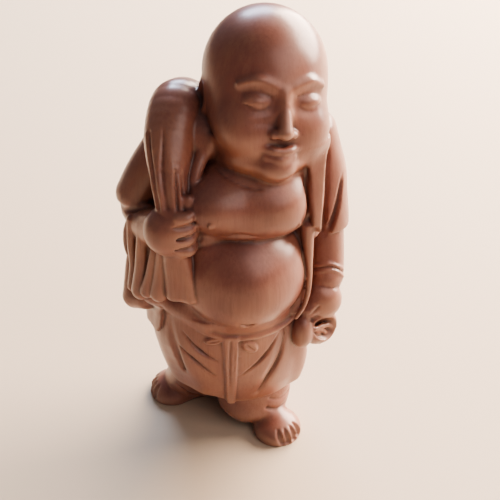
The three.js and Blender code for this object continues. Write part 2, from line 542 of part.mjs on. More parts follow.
// Collapses the edges of a closed mesh whose loss moves the surface least, until `target` faces are left.
function thinned({ points, faces }, target) {
  const around = points.map(() => new Set());
  const quadrics = points.map(() => new Float64Array(10));
  const cross = (p, q, r) => {
    const [ux, uy, uz] = [q[0] - p[0], q[1] - p[1], q[2] - p[2]];
    const [vx, vy, vz] = [r[0] - p[0], r[1] - p[1], r[2] - p[2]];
    return [uy * vz - uz * vy, uz * vx - ux * vz, ux * vy - uy * vx];
  };
  faces.forEach((face, index) => {
    const normal = cross(...face.map((v) => points[v]));
    const area = length(...normal) || 1e-12;
    const [x, y, z] = normal.map((v) => v / area);
    const [px, py, pz] = points[face[0]];
    const w = -(x * px + y * py + z * pz);
    const plane = [x * x, x * y, x * z, x * w, y * y, y * z, y * w, z * z, z * w, w * w];
    for (const v of face) {
      around[v].add(index);
      for (let i = 0; i < 10; i += 1) quadrics[v][i] += area * plane[i];
    }
  });

  // A heap of edges, the cheapest first.
  const heap = [];
  const push = (item) => {
    let i = heap.push(item) - 1;
    while (i && heap[(i - 1) >> 1].cost > item.cost) {
      heap[i] = heap[(i - 1) >> 1];
      i = (i - 1) >> 1;
    }
    heap[i] = item;
  };
  const pop = () => {
    const cheapest = heap[0];
    const last = heap.pop();
    let i = 0;
    while (i < heap.length) {
      let child = 2 * i + 1;
      if (child + 1 < heap.length && heap[child + 1].cost < heap[child].cost) child += 1;
      if (child >= heap.length || heap[child].cost >= last.cost) break;
      heap[i] = heap[child];
      i = child;
    }
    if (heap.length) heap[i] = last;
    return cheapest;
  };

  const ages = new Int32Array(points.length);
  const sum = new Float64Array(10);
  const costAt = (x, y, z) => {
    const square = sum[0] * x * x + sum[4] * y * y + sum[7] * z * z + sum[9];
    return square + 2 * (sum[1] * x * y + sum[2] * x * z + sum[5] * y * z + sum[3] * x + sum[6] * y + sum[8] * z);
  };
  const consider = (a, b) => {
    for (let i = 0; i < 10; i += 1) sum[i] = quadrics[a][i] + quadrics[b][i];
    const [p, q] = [points[a], points[b]];
    let to = [(p[0] + q[0]) / 2, (p[1] + q[1]) / 2, (p[2] + q[2]) / 2];
    let cost = costAt(...to);
    const offer = (choice) => {
      const price = costAt(...choice);
      if (price < cost) [to, cost] = [choice, price];
    };
    const [xx, xy, xz, xw, yy, yz, yw, zz, zw] = sum;
    const minors = [yy * zz - yz * yz, xz * yz - xy * zz, xy * yz - xz * yy];
    const whole = xx * minors[0] + xy * minors[1] + xz * minors[2];
    if (whole > 1e-5 * (xx + yy + zz) ** 3) {
      const best = [
        -(minors[0] * xw + minors[1] * yw + minors[2] * zw) / whole,
        -(minors[1] * xw + (xx * zz - xz * xz) * yw + (xy * xz - xx * yz) * zw) / whole,
        -(minors[2] * xw + (xy * xz - xx * yz) * yw + (xx * yy - xy * xy) * zw) / whole,
      ];
      const span = length(p[0] - q[0], p[1] - q[1], p[2] - q[2]);
      if (length(best[0] - to[0], best[1] - to[1], best[2] - to[2]) < span) offer(best);
    }
    offer(p);
    offer(q);
    push({ cost, a, b, to, age: ages[a] + ages[b] });
  };
  const ringOf = (v) => {
    const ring = new Set();
    for (const f of around[v]) for (const n of faces[f]) if (n !== v) ring.add(n);
    return ring;
  };
  const folds = (v, other, to) => {
    for (const f of around[v]) {
      if (faces[f].includes(other)) continue;
      const before = cross(...faces[f].map((n) => points[n]));
      const after = cross(...faces[f].map((n) => (n === v ? to : points[n])));
      const size = length(...after);
      const turn = before[0] * after[0] + before[1] * after[1] + before[2] * after[2];
      if (size < 0.02 || turn < 0.3 * size * length(...before)) return true;
    }
    return false;
  };

  for (const [a, b, c] of faces) {
    if (a < b) consider(a, b);
    if (b < c) consider(b, c);
    if (c < a) consider(c, a);
  }
  let left = faces.length;
  while (left > target && heap.length) {
    const { a, b, to, age } = pop();
    if (!around[a].size || !around[b].size || age !== ages[a] + ages[b]) continue;
    const ring = ringOf(a);
    if (!ring.has(b)) continue;
    const shared = [...ringOf(b)].filter((v) => ring.has(v));
    if (shared.length !== 2 || folds(a, b, to) || folds(b, a, to)) continue;
    for (const f of [...around[b]]) {
      if (faces[f].includes(a)) {
        faces[f].forEach((v) => around[v].delete(f));
        faces[f] = null;
        left -= 1;
      } else {
        faces[f] = faces[f].map((v) => (v === b ? a : v));
        around[a].add(f);
      }
    }
    around[b].clear();
    points[a] = to;
    for (let i = 0; i < 10; i += 1) quadrics[a][i] += quadrics[b][i];
    ages[a] += 1 + ages[b];
    for (const v of ringOf(a)) consider(a, v);
  }
  return { points, faces: faces.filter(Boolean) };
}

const box = new THREE.Box3();
for (const { work, box: [low, high] } of steps) {
  if (work === "add") box.union(new THREE.Box3(new THREE.Vector3(...low), new THREE.Vector3(...high)));
}
box.expandByScalar(2 * CELL);
const rough = surfaceOf(gridOf(steps, box, CELL));
const facets = thinned(rough, FACETS);

const wasm = await Module();
wasm.setup();

const numbers = new Map();
for (const v of facets.faces.flat()) if (!numbers.has(v)) numbers.set(v, numbers.size);
const carving = new wasm.Manifold(
  new wasm.Mesh({
    numProp: 3,
    vertProperties: new Float32Array([...numbers.keys()].flatMap((v) => facets.points[v])),
    triVerts: new Uint32Array(facets.faces.flat().map((v) => numbers.get(v))),
  }),
);

// The sole: everything under the floor is sawn off.
const floor = new THREE.BoxGeometry(200, 200, 20).translate(0, 0, -10);
const corners = floor.attributes.position;
const cornerNumbers = new Map();
const floorFaces = Array.from(floor.index.array, (v) => {
  const key = `${corners.getX(v)},${corners.getY(v)},${corners.getZ(v)}`;
  if (!cornerNumbers.has(key)) cornerNumbers.set(key, cornerNumbers.size);
  return cornerNumbers.get(key);
});
const saw = new wasm.Manifold(
  new wasm.Mesh({
    numProp: 3,
    vertProperties: new Float32Array([...cornerNumbers.keys()].flatMap((key) => key.split(",").map(Number))),
    triVerts: new Uint32Array(floorFaces),
  }),
);
const solid = carving.subtract(saw);

const mesh = solid.getMesh();
const geometry = new THREE.BufferGeometry()
  .setAttribute("position", new THREE.BufferAttribute(mesh.vertProperties, 3))
  .setIndex(new THREE.BufferAttribute(mesh.triVerts, 1));
geometry.computeVertexNormals();
geometry.translate(-MIDDLE[0], -MIDDLE[1], 0);

const wood = new THREE.MeshStandardMaterial({ color: 0x9a5b3a, roughness: 0.45, metalness: 0 });
const figure = new THREE.Mesh(geometry, wood);
figure.name = "buddha_figure";

const group = new THREE.Group();
group.add(figure);
export default group;
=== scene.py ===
import math

import bpy
import numpy as np
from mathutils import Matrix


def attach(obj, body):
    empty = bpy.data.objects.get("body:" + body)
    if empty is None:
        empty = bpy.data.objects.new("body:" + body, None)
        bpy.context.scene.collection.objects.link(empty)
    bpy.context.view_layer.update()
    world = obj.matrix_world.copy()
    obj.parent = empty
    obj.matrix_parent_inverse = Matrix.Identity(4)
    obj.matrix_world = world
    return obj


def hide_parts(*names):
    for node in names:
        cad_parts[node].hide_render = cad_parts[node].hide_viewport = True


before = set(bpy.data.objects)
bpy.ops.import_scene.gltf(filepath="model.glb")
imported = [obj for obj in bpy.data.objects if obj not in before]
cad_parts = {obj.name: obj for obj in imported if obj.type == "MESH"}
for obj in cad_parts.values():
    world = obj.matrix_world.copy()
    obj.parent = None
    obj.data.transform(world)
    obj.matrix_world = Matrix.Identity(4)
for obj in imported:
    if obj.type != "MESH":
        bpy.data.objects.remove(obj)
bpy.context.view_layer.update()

# The block
# The real figure is carved from one block of hardwood. Here the block is a grid of distances in millimetres
# to the wood's surface, negative inside the wood. Each stroke below adds wood, cuts it away or presses the
# surface in.

FAR = 1000
CELL = 0.5
BLOCK = [(-43, 40), (-37.5, 36), (-2, 160)]
AXES = [np.arange(low, high, CELL, dtype=np.float32) for low, high in BLOCK]
wood = np.full([len(axis) for axis in AXES], FAR, np.float32)


def soft_min(a, b, blend):
    """The smaller of two distances, with the edge where they meet rounded over a blend in millimetres."""
    meet = np.maximum(blend - np.abs(a - b), 0)
    return np.minimum(a, b) - meet * meet / (4 * max(blend, 0.01))


def rise_of(value, start, end):
    """A soft step from 0 at the start to 1 at the end."""
    share = np.clip((value - start) / (end - start), 0, 1)
    return share * share * (3 - 2 * share)


def reached(axes, low, high):
    """The part of a grid that lies between two corners."""
    return tuple(slice(*np.searchsorted(axis, ends)) for axis, *ends in zip(axes, low, high))


def stroke(form, blend, work):
    """Lets a form, a measure with its two corners, act on the part of the block that it reaches."""
    measure, low, high = form
    margin = blend + 3 * CELL
    part = reached(AXES, np.subtract(low, margin), np.add(high, margin))
    x = AXES[0][part[0]][:, None, None]
    y = AXES[1][part[1]][None, :, None]
    z = AXES[2][part[2]][None, None, :]
    if x.size and y.size and z.size:
        wood[part] = work(wood[part], measure(x, y, z, margin))


def add(form, blend=1.0):
    stroke(form, blend, lambda old, new: soft_min(old, new, blend))


def cut(form, blend=0.6):
    stroke(form, blend, lambda old, new: -soft_min(-old, new, blend))


def swell(form, height, edge=1.0):
    """Moves the surface out by a height inside a form, or in where it is negative, over a soft edge."""
    stroke(form, edge, lambda old, new: old - height * (1 - rise_of(new, -edge, 0)))


# The skirt
# A long wrapped cloth, carved as a barrel that narrows to the hem. Shallow folds run from the hips towards
# the middle, and long flutes down the back. The hem is lifted over the figure's right foot.

SQUARENESS = 2.3
SKIRT = [
    (17.5, -1.3, -2, 23, 19.5, 19),
    (26, -1.4, -2, 26, 22, 20.5),
    (36, -2.4, -2, 27.4, 24.5, 21.5),
    (46, -3.6, -2, 27.6, 25.5, 22),
    (60, -2.6, -2, 27.2, 25, 22),
]


def smooth_curve(before, start, end, after, share):
    """The place at a share of the smooth curve from a start to an end, bent by the points on either side."""
    leave, arrive = (end - before) / 2, (after - start) / 2
    bend = 3 * (end - start) - 2 * leave - arrive
    return start + share * (leave + share * (bend + share * (2 * (start - end) + leave + arrive)))


def section_at(sections, z):
    """The centre, half width and depths of a body of level sections at one height or at many."""
    rows = np.array(sections, float)
    z = np.atleast_1d(np.asarray(z, float))
    i = np.clip(np.searchsorted(rows[:, 0], z, side="left") - 1, 0, len(rows) - 2)
    before, low, high, after = (rows[np.clip(i + step, 0, len(rows) - 1)] for step in (-1, 0, 1, 2))
    share = np.clip((z - low[:, 0]) / (high[:, 0] - low[:, 0]), 0, 1)[:, None]
    return smooth_curve(before, low, high, after, share)[:, 1:].T


def loft(sections, power, rim):
    """A body of level sections: height, middle, half width, front and back depth, squared off by a power."""
    bottom, top = sections[0][0], sections[-1][0]

    def measure(x, y, z, margin):
        shape = section_at(sections, z.ravel())
        cx, cy, half, front, back = (row.astype(np.float32)[None, None, :] for row in shape)
        across = np.abs(x - cx) / half
        along = np.where(y < cy, (cy - y) / front, (y - cy) / back)
        reach = np.maximum((across ** power + along ** power) ** (1 / power), 1e-4)
        # A trace over the true radius keeps the axis itself inside
        radius = np.sqrt((x - cx) ** 2 + (y - cy) ** 2) + 0.001
        side = radius - radius / reach
        side = -soft_min(-side, top - z, rim)
        return -soft_min(-side, z - bottom, rim)

    rows = np.array(sections)
    wide = np.max(np.abs(rows[:, 1]) + rows[:, 3])
    deep = np.max(np.abs(rows[:, 2]) + rows[:, 4:].max(axis=1))
    return measure, (-wide, -deep, bottom), (wide, deep, top)


def on_loft(sections, heading, z):
    """The point on a body's side at a heading in degrees, 0 at the front and 90 at the figure's left."""
    cx, cy, half, front, back = section_at(sections, z)[:, 0]
    sine, cosine = math.sin(math.radians(heading)), math.cos(math.radians(heading))
    across = math.copysign(abs(sine) ** (2 / SQUARENESS), sine)
    along = abs(cosine) ** (2 / SQUARENESS)
    return cx + half * across, cy + (-front if cosine > 0 else back) * along, z


def curve_through(points, radii, pieces=5):
    """More points along the smooth curve through the given ones, with the radius at each."""
    ends = np.vstack([2 * points[0] - points[1], points, 2 * points[-1] - points[-2]])
    line, thick = [], []
    for i in range(len(points) - 1):
        for share in np.arange(pieces) / pieces:
            line.append(smooth_curve(*ends[i:i + 4], share))
            thick.append(radii[i] + share * (radii[i + 1] - radii[i]))
    return np.array(line + [points[-1]]), np.array(thick + [radii[-1]])


def limb(points, radii, curved=True, deep=1.0):
    """A round bar through points, from radius to radius, so many times deeper than it is wide."""
    line = np.array(points, float) / (1, deep, 1)
    thick = np.zeros(len(line)) + radii
    if curved and len(line) > 2:
        line, thick = curve_through(line, thick)

    def measure(x, y, z, margin):
        nearest = np.full((x.size, y.size, z.size), FAR, np.float32)
        y = y / np.float32(deep)
        for start, end, first, last in zip(line, line[1:], thick, thick[1:]):
            low = np.minimum(start - first, end - last) - margin
            high = np.maximum(start + first, end + last) + margin
            part = reached((x.ravel(), y.ravel(), z.ravel()), low, high)
            way = (end - start).astype(np.float32)
            dx = x[part[0]] - np.float32(start[0])
            dy = y[:, part[1]] - np.float32(start[1])
            dz = z[:, :, part[2]] - np.float32(start[2])
            share = np.clip((dx * way[0] + dy * way[1] + dz * way[2]) / np.float32(way @ way), 0, 1)
            away = (dx - share * way[0]) ** 2 + (dy - share * way[1]) ** 2 + (dz - share * way[2]) ** 2
            bar = np.sqrt(away) - (np.float32(first) + share * np.float32(last - first))
            nearest[part] = np.minimum(nearest[part], bar)
        return nearest

    low, high = (line - thick[:, None]).min(axis=0), (line + thick[:, None]).max(axis=0)
    return measure, low * (1, deep, 1), high * (1, deep, 1)


def score(points, width, depth, deep=3.0):
    """A line pressed in along points on the surface, or raised by a negative depth, fading at both sides."""
    swell(limb(points, width, deep=deep), -depth, np.max(width))


def turned(x=0, y=0, z=0):
    """The axes of a form turned in degrees about X, then Y, then Z."""
    angles = [math.radians(angle) for angle in (x, y, z)]
    (sx, cx), (sy, cy), (sz, cz) = ((math.sin(angle), math.cos(angle)) for angle in angles)
    about_x = np.array([[1, 0, 0], [0, cx, -sx], [0, sx, cx]])
    about_y = np.array([[cy, 0, sy], [0, 1, 0], [-sy, 0, cy]])
    about_z = np.array([[cz, -sz, 0], [sz, cz, 0], [0, 0, 1]])
    return about_z @ about_y @ about_x


def own_places(x, y, z, at, axes):
    """Places in a form's own axes."""
    dx, dy, dz = x - np.float32(at[0]), y - np.float32(at[1]), z - np.float32(at[2])
    return [dx * np.float32(a) + dy * np.float32(b) + dz * np.float32(c) for a, b, c in np.transpose(axes)]


def egg(at, size, axes=np.eye(3)):
    """An egg-shaped form, by its middle, its three half widths and its axes."""
    def measure(x, y, z, margin):
        places = own_places(x, y, z, at, axes)
        reach = np.sqrt(sum((place / s) ** 2 for place, s in zip(places, size)))
        slope = np.sqrt(sum((place / (s * s)) ** 2 for place, s in zip(places, size)))
        return np.where(slope < 1e-5, -min(size), reach * (reach - 1) / np.maximum(slope, 1e-5))

    half = np.sqrt(np.square(axes) @ np.square(size))
    return measure, np.array(at) - half, np.array(at) + half


def panel(outline, near, far):
    """A prism along Y over an outline of across and up points."""
    def measure(x, y, z, margin):
        u, v = x[:, 0, :], z[:, 0, :]
        nearest = np.full((u.size, v.size), FAR, np.float32)
        inside = np.zeros((u.size, v.size), bool)
        for (ax, az), (bx, bz) in zip(outline, outline[-1:] + outline[:-1]):
            wx, wz = bx - ax, bz - az
            share = np.clip(((u - ax) * wx + (v - az) * wz) / (wx * wx + wz * wz), 0, 1)
            nearest = np.minimum(nearest, np.hypot(u - ax - share * wx, v - az - share * wz))
            crosses = (az > v) != (bz > v)
            inside ^= crosses & (u < ax + (v - az) * wx / (wz if wz else 1e-9))
        flat = np.where(inside, -nearest, nearest)[:, None, :]
        return np.maximum(flat, np.maximum(near - y, y - far))

    across, up = zip(*outline)
    return measure, (min(across), near, min(up)), (max(across), far, max(up))


def flutes(body, headings, heights, radii, blend):
    """Gouges down a body's side, each from its heading at the top to its heading at the foot."""
    for top, foot in headings:
        middle = (top + foot) / 2
        line = [on_loft(body, *place) for place in zip((top, middle, foot), heights)]
        cut(limb(line, radii), blend)


# The barrel, and the hollow where the cloth is drawn back over the right foot
add(loft(SKIRT, SQUARENESS, 1.6), 0.5)
cut(limb([(-29, -30, 6), (-33, -27, 22), (-36, -20, 44)], (18.2, 16, 8)), 3)

# The bulge of cloth over the left hip, and the folds at the front
add(limb([(16.4, -18.8, 50), (19, -15.8, 34), (18.8, -13.5, 21)], (3, 3.2, 2.5)), 4)
cut(limb([(12, -25.8, 54), (10.6, -27, 43), (6.4, -26.4, 31.8), (2.6, -24, 23)], (1.2, 1.8, 1.8, 1)), 2)
cut(limb([(-27.3, -17.5, 58), (-26, -19.5, 48), (-22.5, -18.5, 36)], (0.4, 1.3, 0.7)), 2)
SKIRT_FOLDS = [
    [(9.5, -25.4, 51.8), (4.7, -26.7, 44.2), (-3.8, -26.8, 36)],
    [(-22.8, -21.3, 55.2), (-17.9, -24.6, 48.9), (-11.9, -27.1, 44.4)],
    [(-24.4, -20.5, 48.9), (-19.4, -23.6, 43.6), (-12.8, -25.8, 36.3)],
    [(12.3, -24, 52.8), (10.6, -24.7, 41.8), (6.1, -24.2, 31), (2.9, -22.6, 22.8)],
]
for points in SKIRT_FOLDS:
    score(points, 1.2 - 0.7 * np.abs(np.linspace(-1, 1, len(points))), 1.5)

BACK_FLUTES = [(95, 88), (122, 124), (150, 155), (178, 182), (206, 210), (236, 232), (262, 256)]
flutes(SKIRT, BACK_FLUTES, (50, 34, 18), (0.8, 1.6, 1.8), 1.5)

# The hem, lifted at the figure's right
HEM = [(-40, 10), (-40, 23.6), (-20, 23.4), (-12, 22), (-5, 18.6), (0, 17), (0, 10)]
cut(panel(HEM, -40, 30), 0.5)

# The ends of the waist tie and its flat bow
TIE = [
    (-10.4, 56), (-10.4, 52), (-9.9, 40), (-9.2, 25), (-8.6, 18.6),
    (-4.8, 18.2), (-5, 25), (-5.2, 40), (-4.6, 56),
]
swell(panel(TIE, -34, -15), 1.1, 0.6)
score([(-7.6, -28.2, 55), (-8.1, -28.2, 40.6), (-7.6, -24.4, 20)], (0.6, 0.7, 0.5), 0.9)
score([(-6, -28.2, 54), (-6.6, -28.2, 42), (-6.6, -26.4, 33)], (0.4, 0.5, 0.3), 0.4)
BOW = [((-0.9, -27, 50), (2.4, 3, 3.7), -42), ((-13.2, -26, 53.6), (1.5, 3, 3.5), 80)]
for middle, size, lean in BOW:
    axes = turned(0, lean, 0)
    swell(egg(middle, size, axes), 0.9, 0.6)
    front = np.array(middle) - (0, 1, 0)
    score([front + 2 * axes[:, 2], front - 2 * axes[:, 2]], 0.6, 0.7)

# The trousers
# Two wide legs of soft cloth that show under the skirt and fold where they rest on the feet.

LEFT_CUFF = [
    (3.6, 3.8, -6, 11.8, 14, 10),
    (8, 4.1, -7, 13.6, 14.5, 11),
    (14, 4.6, -7, 14, 12.5, 12),
    (22, 3, -6, 12, 11, 12),
]
RIGHT_CUFF = [
    (3.6, -14.5, 7, 10.5, 8.5, 10),
    (8, -15, 6.5, 12, 9.5, 11),
    (15, -14, 4, 11, 10, 10),
    (25, -12, 1, 10, 11, 9),
]
for cuff in (LEFT_CUFF, RIGHT_CUFF):
    add(loft(cuff, SQUARENESS, 2), 0.8)

# Both legs reach the floor behind the feet, and the figure stands on them as well
LEFT_HEEL = [(-2, 4.5, -1, 10, 5, 9), (8, 4.3, -2, 12, 6, 9.5)]
RIGHT_HEEL = [(-2, -13.5, 8, 9, 6, 9.5), (8, -14.5, 7.5, 11, 7, 10)]
for heel in (LEFT_HEEL, RIGHT_HEEL):
    add(loft(heel, SQUARENESS, 1), 1.5)

# The creases over each instep
score([(7.1, -20.3, 11.4), (11, -20, 9.9), (16, -17, 9.4)], 1.1, 1)
score([(8.6, -19.6, 14.8), (12.5, -19, 13.2), (16.6, -15.6, 12.8)], 1.1, 0.9)
score([(-25.4, -3, 13), (-22.1, -2.2, 10.3), (-18.3, -1.7, 6), (-13, -1.8, 4)], 0.9, 0.9)
score([(-24, -5.2, 17.4), (-20, -4.6, 13.6), (-15, -5, 11)], 0.9, 0.7)

# The feet
# Bare, broad and short. Four gouged slots over the rounded front of each part its toes.

LEFT_SLOTS = [(-14, 1), (12, 15), (36, 35), (57, 54)]
RIGHT_SLOTS = [(-126, -124), (-106, -104), (-86, -84), (-64, -64)]


def on_egg(at, size, heading, height):
    """The point on an upright egg at a heading and a height, both in degrees."""
    turn, lift = math.radians(heading), math.radians(height)
    out = (math.sin(turn) * math.cos(lift), -math.cos(turn) * math.cos(lift), math.sin(lift))
    return tuple(p + s * o for p, s, o in zip(at, size, out))


def foot(heel, instep, ball, slots):
    """A foot with a domed front, and the slots between its toes by their headings at the top and the tip."""
    dome = ((ball[0], ball[1], 1.4), (9, 9, 6.4))
    add(limb([heel, instep, ball], (6, 7, 5)), 1)
    add(egg(*dome), 1.5)
    for top, tip in slots:
        places = ((top, 48), ((top + tip) / 2, 25), (tip, 2))
        cut(limb([on_egg(*dome, *place) for place in places], (0.4, 1.2, 1.4)), 0.3)


foot((5, -8, 5), (8.5, -15.5, 4.5), (11, -21.2, 2.6), LEFT_SLOTS)
foot((-12, 6, 5), (-19, 6.5, 4.5), (-24.6, 8, 2.6), RIGHT_SLOTS)

# The robe over the back and the sides
# An open coat that hangs from the shoulders, with long soft folds at the back. Its hem stands proud of the
# skirt at the figure's right.

ROBE = [
    (46.5, -1.5, 0, 30.8, 18, 24),
    (60, -1, 0, 30, 19, 25),
    (80, -0.5, 0, 29, 18, 26),
    (98, 0.5, 0, 27, 16, 25),
    (111, 3, 1, 24, 13, 20),
    (121, 5, 2, 12, 8, 12),
]
LOWER_FLUTES = [
    (100, 96), (118, 116), (134, 138), (152, 158), (172, 178), (196, 198), (222, 220), (244, 240),
]
SHOULDER_FLUTES = [(128, 112), (146, 130), (166, 148)]
add(loft(ROBE, SQUARENESS, 3), 0.5)
flutes(ROBE, LOWER_FLUTES, (84, 66, 46), (0.4, 1.7, 2.2), 2)
flutes(ROBE, SHOULDER_FLUTES, (112, 98, 82), (0.4, 1.5, 0.6), 1.5)
FRONT_HEM = [(-34, 46.5), (-30, 48), (-28.6, 52), (-27.8, 57), (-27.6, 80), (-34, 80)]
swell(panel(FRONT_HEM, -30, 0), 1.2, 1.2)

# The collar
# A thick band of cloth that lies round the neck and falls over the left breast.

add(limb([(18, -8.5, 117), (21.5, -12.8, 109), (21.8, -15, 100), (21.2, -16, 88)], (4, 4.4, 4.4, 4)), 0.8)
add(limb([(18, -8, 117), (19, 3, 120), (9, 12, 121), (-5, 12, 120), (-12, 0, 119)], 3), 1)

# The chest and the belly
# Bare, smooth skin with no folds of cloth: two full breasts over a round belly, with a crease between them.

# The rib cage and the breasts
add(egg((0.5, -7, 99), (19.6, 20, 17)), 2)
add(egg((-9, -15.5, 102), (12.5, 11.5, 9.5)), 3)
add(egg((9.2, -16.1, 101.8), (11, 11.5, 9.5)), 5)
add(egg((11.6, -14.8, 97.6), (8.4, 10.6, 8.6)), 3)
add(limb([(11.5, -9.5, 113), (12.3, -14.4, 105.5)], 6.6), 4)

# The belly
add(egg((-1, -9, 76), (23, 25.5, 20)), 1)
add(egg((-1, -10.5, 71), (21.5, 23.5, 19.5)), 4)
add(egg((9.5, -11, 82), (11, 12.5, 9.6)), 2)
add(egg((-12, -13.2, 88), (8.6, 10, 11)), 3)

# The crease under the breasts, the fold above it and the one under the chin
UNDER_BREASTS = [(-10, -24.3, 93.8), (-5.9, -26, 95.2), (-1.4, -26.8, 95), (4.5, -26.2, 92.6)]
cut(limb(UNDER_BREASTS, (0.3, 0.9, 0.9, 0.3)), 0.6)
score([(-16.5, -21.9, 89.6), (-11.9, -23.3, 91), (-6.5, -24.3, 92), (0.3, -25.4, 92.2)], 1.4, 0.35)
score([(-9.5, -13, 113.5), (-6.3, -18, 111.8), (-1.2, -21.3, 110.2), (3.5, -22.8, 109.4)], 0.7, 0.35)

for nipple in ((-12.8, -26.4, 100.3), (15.2, -24.6, 95.9)):
    add(egg(nipple, (1.2, 0.6, 1.2)), 0.3)
    swell(egg(nipple, (0.7, 1.2, 0.7)), -0.35, 0.5)

# The navel, a shallow V
NAVEL = [(-4.4, -31.8, 64.4), (-2.6, -32, 62.6), (-0.6, -31.8, 64.4)]
cut(limb(NAVEL, (0.5, 1.1, 0.5), curved=False), 0.4)

# The waistband and the lapels
# A rolled band under the belly, and the coat's left front: a flat upper lapel that ends in a step at the
# breast, over a narrow one that runs down to the band. Deep grooves part them from the body.

BAND = [
    (-22, -16.5, 60.6), (-19, -21.8, 59), (-15.4, -25, 57.2), (-10.3, -26.8, 55.3), (-4.9, -27.6, 54.5),
    (1.2, -27.6, 54.3), (7.3, -26.5, 54.8), (13, -24.3, 56), (17.4, -21.5, 58),
]
add(limb([(x, y + 0.5, z) for x, y, z in BAND], 1.3), 0.8)
add(limb([(-25, -15.6, 62.5), (-20, -20.4, 62), (-15, -23.8, 60.4)], 2.2), 2.5)

# The inside of the coat, which closes the gap behind the lapels
COAT_INSIDE = [
    (18.6, -14.5, 112), (19, -16, 103), (18.6, -16.9, 91), (18.6, -18.2, 76), (17.4, -20.4, 66),
    (15.8, -22, 60),
]
add(limb(COAT_INSIDE, 2.4), 1)

# The lower lapel, and the groove between it and the belly
LOWER_LAPEL = [
    (19.8, -19.8, 92), (20.1, -21.4, 78.5), (20.2, -23, 69), (18.6, -24.4, 62.5), (15.4, -25.8, 58.6),
]
add(limb(LOWER_LAPEL, (2.3, 1.6, 1, 0.8, 0.8)), 0.5)
BESIDE_BELLY = [
    (16.9, -21.4, 91), (18.1, -22.4, 81), (18.9, -23.4, 73.5), (17.9, -25, 64.7), (14.6, -26.4, 59),
]
cut(limb(BESIDE_BELLY, (0.5, 0.8, 0.8, 0.8, 0.5)), 0.4)


def cloth(at, size, axes, taper, corner):
    """A hanging slab of cloth, taper times as wide at its foot as at its head, with rounded corners."""
    width, thick, tall = size

    def measure(x, y, z, margin):
        u, v, w = own_places(x, y, z, at, axes)
        down = np.clip(0.5 - w / (2 * tall), 0, 1)
        du = np.abs(u) - width * (1 + (taper - 1) * down) + corner
        dv = np.abs(v) - thick + corner
        dw = np.abs(w) - tall + corner
        outside = np.sqrt(np.maximum(du, 0) ** 2 + np.maximum(dv, 0) ** 2 + np.maximum(dw, 0) ** 2)
        return outside + np.minimum(np.maximum(np.maximum(du, dv), dw), 0) - corner

    half = np.abs(axes) @ np.array((width * max(1, taper), thick, tall))
    return measure, np.array(at) - half, np.array(at) + half


# The upper lapel, the groove beside the breast and the hollow under the step
add(cloth((22.1, -17.3, 104.5), (3.3, 3, 15), turned(-13, 4, 10), taper=0.42, corner=0.6), 0.5)
BESIDE_BREAST = [(18.4, -18.5, 114), (18.8, -20.3, 105.5), (19, -21.2, 99), (18.4, -22, 94)]
cut(limb(BESIDE_BREAST, (1, 1, 0.9, 0.7), deep=1.8), 0.4)
cut(egg((21.2, -24.8, 91), (2.4, 3, 2.6)), 0.4)

# The edge of the coat under the neck of the sack
add(limb([(-11, -9, 119), (-15.6, -14.5, 111), (-17.6, -18, 102)], (2.6, 2, 1.4)), 0.6)

# The neck and the head
# A round, bald head, bent forward, on a short neck with a full roll of flesh under the chin. The face is a
# plain, calm one in the proportions of a drawing book, with lowered lids and closed lips.

HEAD_AT = (9.2, -2.7, 132.8)
HEAD_AXES = turned(-13, 8, 4)
HEAD_WIDTH = 38


def on_head(*points):
    """Points given from the middle of the head, in the figure's own place."""
    return [tuple(HEAD_AXES @ np.array(p) + HEAD_AT) for p in points]


def head_egg(at, size, axes=np.eye(3)):
    return egg(on_head(at)[0], size, HEAD_AXES @ axes)


# The neck, the skull, the jaw, the chin and the roll under it
add(egg((6, -5, 114), (15, 14, 8)), 1.5)
add(head_egg((0, 1.8, 5.6), (HEAD_WIDTH / 2 + 0.4, 20.4, 20.2)), 1)
add(head_egg((0, -2.5, -7.5), (17.8, 16.4, 16.6)), 7)
add(head_egg((0, -15.4, -20), (6.4, 5, 4.6)), 4)
add(head_egg((-0.6, -5.5, -19.8), (14, 12, 5.2)), 1.5)

# The nose, by its bridge and its tip
add(limb(on_head((0, -17.8, 2.5), (0, -19.8, -4), (0, -21.2, -8.2)), (1.4, 1.9, 2.2)), 2.5)
add(head_egg((0, -20.8, -8.8), (2.4, 2.2, 1.9)), 1)

for side in (-1, 1):
    # A cheek, a wing of the nose and its nostril
    add(head_egg((side * 9, -10.6, -9.5), (8.4, 8, 8)), 5)
    add(head_egg((side * 2.9, -19.6, -9.3), (1.6, 1.9, 1.4)), 0.8)
    cut(head_egg((side * 1.5, -20.6, -10.9), (0.7, 1.1, 0.6)), 0.3)

    # An eye: the hollow under the brow, the ball, and the lids that nearly close over it
    cut(head_egg((side * 8, -20.8, 0.4), (5.4, 2.6, 3)), 3)
    add(head_egg((side * 7.9, -15.3, -0.2), (4.6, 3.3, 2.7), turned(0, 0, side * 14)), 0.8)
    lid = on_head((side * 4.6, -18.4, -1.3), (side * 7.9, -18.9, -1.9), (side * 12, -16.2, -0.9))
    cut(limb(lid, (0.15, 0.5, 0.3)), 0.3)
    fold = on_head((side * 4, -17.8, 1.8), (side * 7.9, -18.2, 2.7), (side * 12.4, -15.6, 1.6))
    score(fold, 0.5, 0.3)
    brow = on_head((side * 3.2, -17.8, 4.6), (side * 8, -17.2, 6.2), (side * 13, -14.4, 4.4))
    add(limb(brow, (0.7, 0.9, 0.6)), 2)

    # An ear, with its long lobe and its hollow
    add(head_egg((side * 18, 3.2, -3), (2.4, 4.6, 7.6)), 0.8)
    add(head_egg((side * 17.4, 2, -13.5), (2.2, 3, 6)), 0.8)
    cut(head_egg((side * 20.4, 2.4, -2.4), (1.6, 2.6, 4.8)), 0.6)

